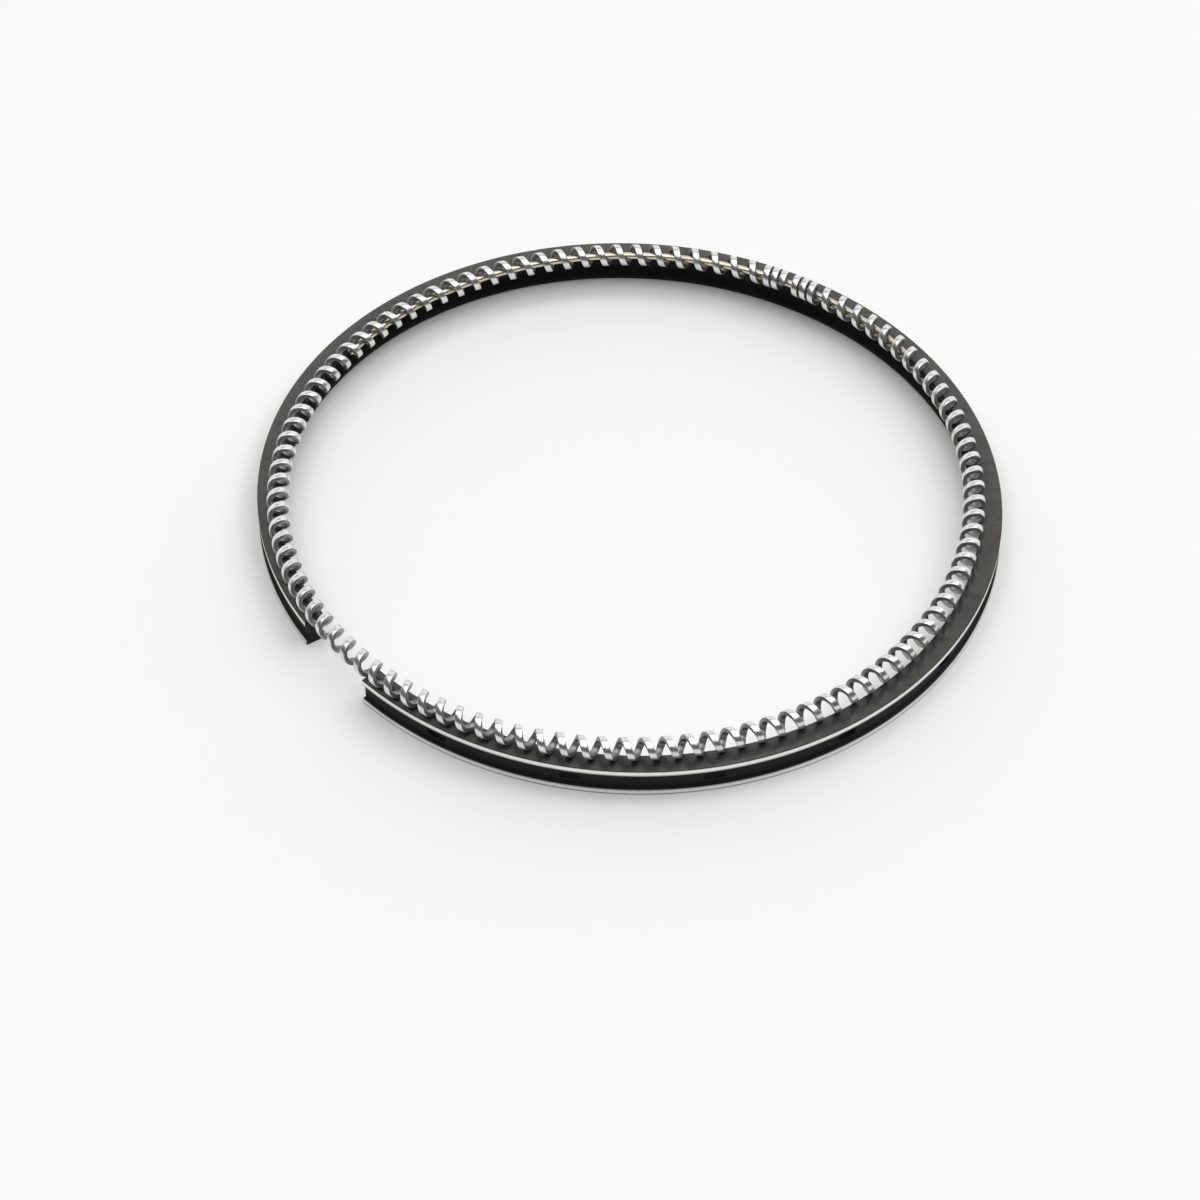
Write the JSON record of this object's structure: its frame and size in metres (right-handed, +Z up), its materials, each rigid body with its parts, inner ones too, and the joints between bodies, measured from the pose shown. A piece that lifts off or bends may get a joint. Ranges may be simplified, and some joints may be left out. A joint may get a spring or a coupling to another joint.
{
  "type": "oil control piston ring",
  "caption": "Split oil control piston ring with scraping lands, a drain-slotted channel and an inner groove, and its coil spring expander laid on top.",
  "frame": {"origin": "on the ring's axis, in the plane of the lower side face that it lies on", "axes": "+Z up along the ring's axis; the free gap faces -Y; +X across the ring, where it is widest"},
  "size_m": [0.0742, 0.0722, 0.0056],
  "materials": {
    "phosphated_iron": "dark phosphated sides and channel, with two bare polished lands",
    "spring_steel": "bright rolled strip",
    "latch_steel": "drawn wire, slightly warm"
  },
  "bodies": {
    "root": {"ring_body": "phosphated_iron", "coil_expander": "spring_steel", "latch_wire": "latch_steel"}
  },
  "joints": []
}
